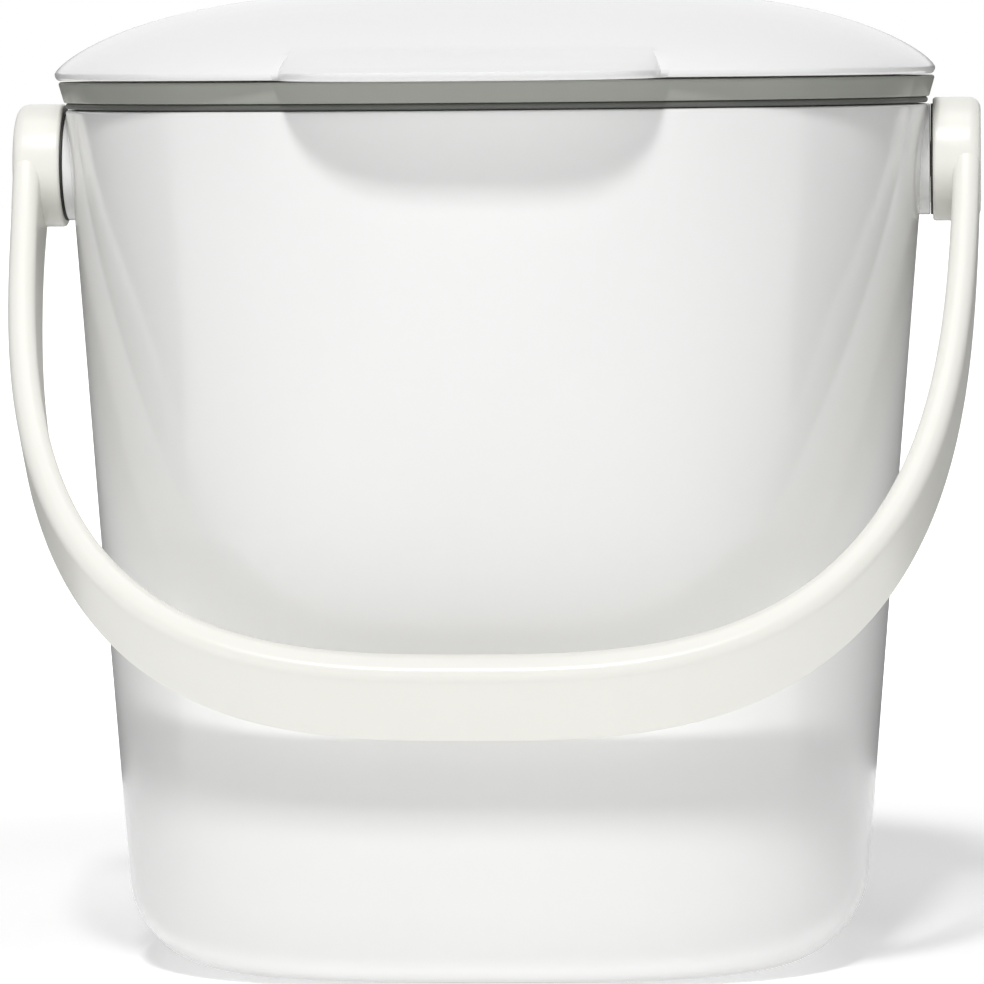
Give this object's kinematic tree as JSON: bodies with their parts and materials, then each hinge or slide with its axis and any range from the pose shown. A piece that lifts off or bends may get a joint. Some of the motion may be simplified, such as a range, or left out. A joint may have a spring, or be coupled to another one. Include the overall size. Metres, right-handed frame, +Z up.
{
  "type": "compost caddy",
  "caption": "Countertop compost caddy: a tapered bucket with a swinging bail handle, and a domed lid hinged on a lift-off collar.",
  "frame": {"origin": "centre of the bucket's base, on the surface that it stands on", "axes": "+Z up, -Y towards the front with the finger tab, +X to the right seen from the front"},
  "size_m": [0.2478, 0.2276, 0.2476],
  "materials": {
    "bucket_white": "glossy moulded white",
    "handle_cream": "satin moulded cream",
    "pin_cream": "moulded cream",
    "washer_dark": "dark low-friction plastic",
    "collar_grey": "satin grey",
    "seal_dark": "soft dark grey",
    "lid_white": "glossy moulded white",
    "liner_white": "moulded white",
    "seal_pale": "soft grey",
    "pin_steel": "drawn wire"
  },
  "bodies": {
    "bucket": {"bucket": "bucket_white"},
    "handle": {"handle": "handle_cream", "pivot_pin_left": "pin_cream", "pivot_pin_right": "pin_cream", "pivot_washer_left": "washer_dark", "pivot_washer_right": "washer_dark"},
    "collar": {"collar": "collar_grey", "collar_seal": "seal_dark", "hinge_pin": "pin_steel"},
    "lid": {"lid_shell": "lid_white", "lid_liner": "liner_white", "lid_seal": "seal_pale"}
  },
  "joints": [
    {"name": "handle_swing", "type": "hinge", "parent": "bucket", "child": "handle", "pos_m": [0, 0.006, 0.2032], "axis": [-1, 0, 0], "range_deg": [-1, 284]},
    {"name": "collar_lift", "type": "slide", "parent": "bucket", "child": "collar", "axis": [0, 0, 1], "range_m": [0, 0.06]},
    {"name": "lid_hinge", "type": "hinge", "parent": "collar", "child": "lid", "pos_m": [0, 0.1036, 0.22265], "axis": [-1, 0, 0], "range_deg": [0, 105]}
  ]
}
